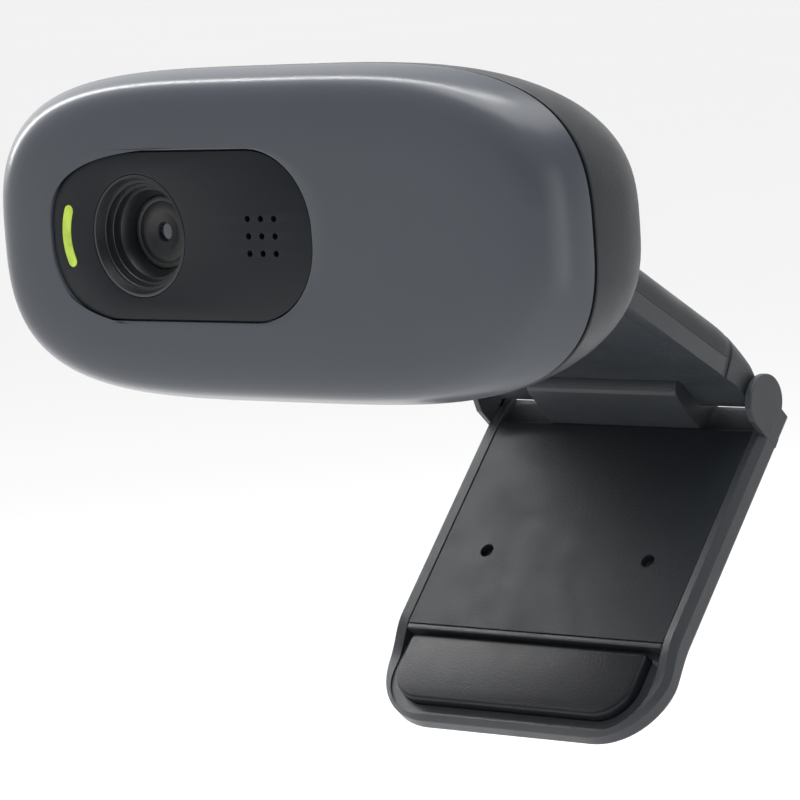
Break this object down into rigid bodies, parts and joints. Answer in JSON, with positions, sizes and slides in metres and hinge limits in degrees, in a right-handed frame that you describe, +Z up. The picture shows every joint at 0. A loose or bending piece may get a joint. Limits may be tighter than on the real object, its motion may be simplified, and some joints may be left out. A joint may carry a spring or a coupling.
{
  "type": "webcam with folding screen clip",
  "caption": "Wide lozenge webcam head with an off-centre lens, on a tilting arm and a folding clip foot with a rubber pad.",
  "frame": {"origin": "middle of the arm's underside, the face that rests on the top edge of a screen", "axes": "+X to the right along the head's width, +Y to the back, +Z up; the camera looks along -Y"},
  "size_m": [0.0728, 0.0604, 0.0705],
  "materials": {
    "front_plastic": "satin dark blue-grey moulded plastic",
    "rear_plastic": "fine-textured charcoal moulded plastic",
    "bezel_plastic": "satin near-black moulded plastic",
    "light_guide": "lime-green translucent light guide",
    "lens_black": "blackened moulded plastic",
    "lens_glass": "coated lens glass",
    "filter_glass": "infrared cut filter, faint red reflection",
    "chip_black": "moulded chip package",
    "circuit_board": "green solder-masked board",
    "crystal_can": "drawn metal can",
    "capacitor_tan": "ceramic capacitor body",
    "connector_white": "nylon connector housing",
    "led_package": "resin LED package",
    "black_rubber": "soft black rubber",
    "screw_steel": "zinc-plated steel",
    "black_screw": "blackened steel",
    "pin_steel": "ground steel pin",
    "clip_plastic": "fine spark-textured dark grey plastic",
    "cap_plastic": "fine-textured charcoal plastic",
    "panel_plastic": "fine-textured dark grey plastic",
    "pad_rubber": "dense black rubber"
  },
  "bodies": {
    "arm": {"arm_base": "clip_plastic", "arm_cap": "cap_plastic", "arm_screws": "black_screw", "tilt_shaft": "pin_steel", "tilt_washers": "pin_steel"},
    "head": {"front_cover": "front_plastic", "rear_cover": "rear_plastic", "lens_bezel": "bezel_plastic", "led_light_guide": "light_guide", "lens_baffle": "lens_black", "lens_barrel": "lens_black", "front_lens": "lens_glass", "rear_lens": "lens_glass", "lens_holder": "lens_black", "ir_filter": "filter_glass", "image_sensor": "chip_black", "main_board": "circuit_board", "controller_chip": "chip_black", "flash_chip": "chip_black", "clock_crystal": "crystal_can", "voltage_regulators": "chip_black", "board_capacitors": "capacitor_tan", "cable_connector": "connector_white", "indicator_led": "led_package", "microphone": "crystal_can", "microphone_boot": "black_rubber", "board_screws": "screw_steel", "cover_screws": "black_screw", "cable_grommet": "black_rubber", "tilt_bracket": "clip_plastic", "bracket_screws": "black_screw"},
    "foot": {"foot_frame": "clip_plastic", "foot_panel": "panel_plastic", "foot_pad": "pad_rubber", "fold_pin": "pin_steel"}
  },
  "joints": [
    {"name": "head_tilt", "type": "hinge", "parent": "arm", "child": "head", "pos_m": [0, -0.01222, 0.01077], "axis": [1, 0, 0], "range_deg": [-40, 15]},
    {"name": "clip_fold", "type": "hinge", "parent": "arm", "child": "foot", "pos_m": [0, 0.01723, -0.00937], "axis": [-1, 0, 0], "range_deg": [-28, 50]}
  ]
}
